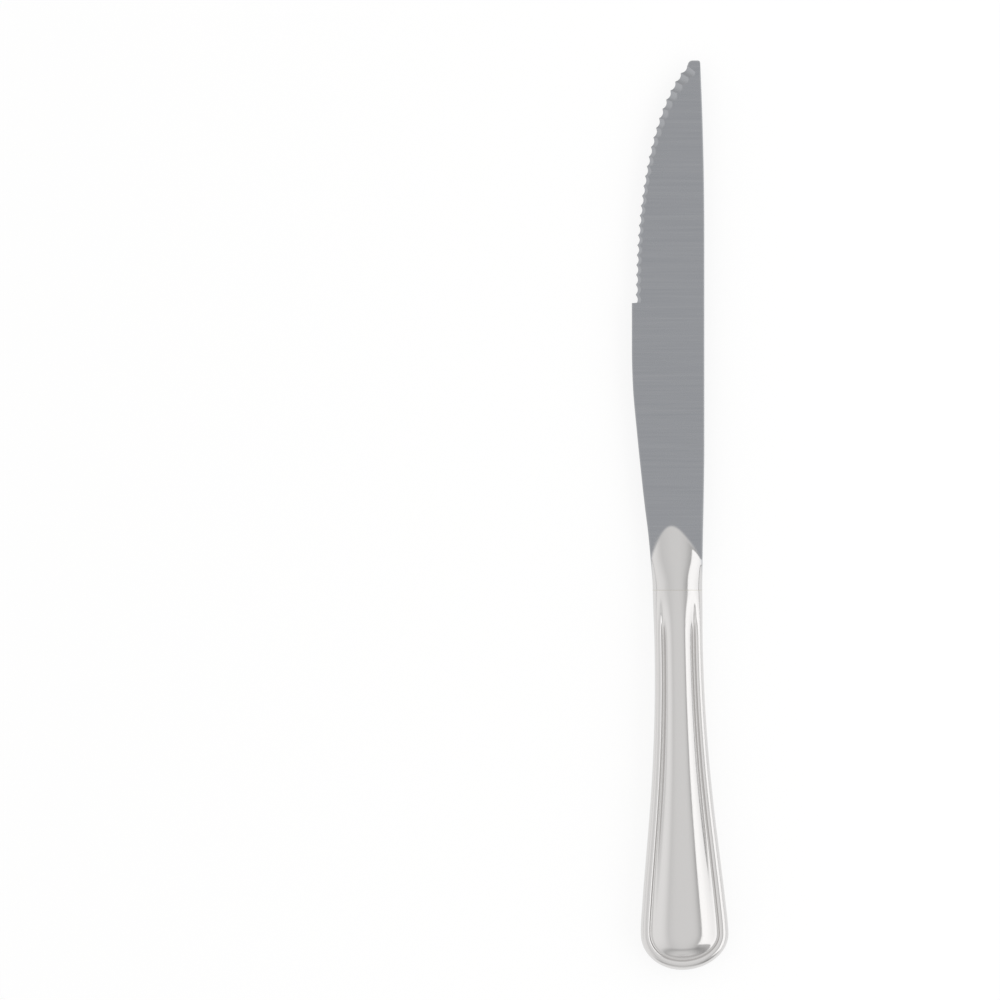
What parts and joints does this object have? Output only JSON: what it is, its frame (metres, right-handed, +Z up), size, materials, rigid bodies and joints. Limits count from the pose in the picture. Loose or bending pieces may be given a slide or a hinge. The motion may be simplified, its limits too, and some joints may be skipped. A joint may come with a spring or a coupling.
{
  "type": "table knife",
  "caption": "Steel table knife with a hollow bordered handle, oval bolster and flat-ground blade with a scalloped cutting edge.",
  "frame": {"origin": "on the ground plane under the middle of the knife's box, the knife lying flat with its mid plane level", "axes": "+Y along the knife from butt to tip, +Z up through the upper (left-hand) side, -X towards the cutting edge"},
  "size_m": [0.025, 0.236, 0.0094],
  "materials": {
    "blade_steel": "polished stainless steel, fine grinding lines",
    "handle_steel": "mirror-polished stainless steel",
    "braze": "silver braze, polished flush",
    "cement": "dull filled cement"
  },
  "bodies": {
    "root": {"blade": "blade_steel", "handle_left_shell": "handle_steel", "handle_right_shell": "handle_steel", "seam_braze": "braze", "shoulder_braze": "braze", "tang_cement": "cement"}
  },
  "joints": []
}
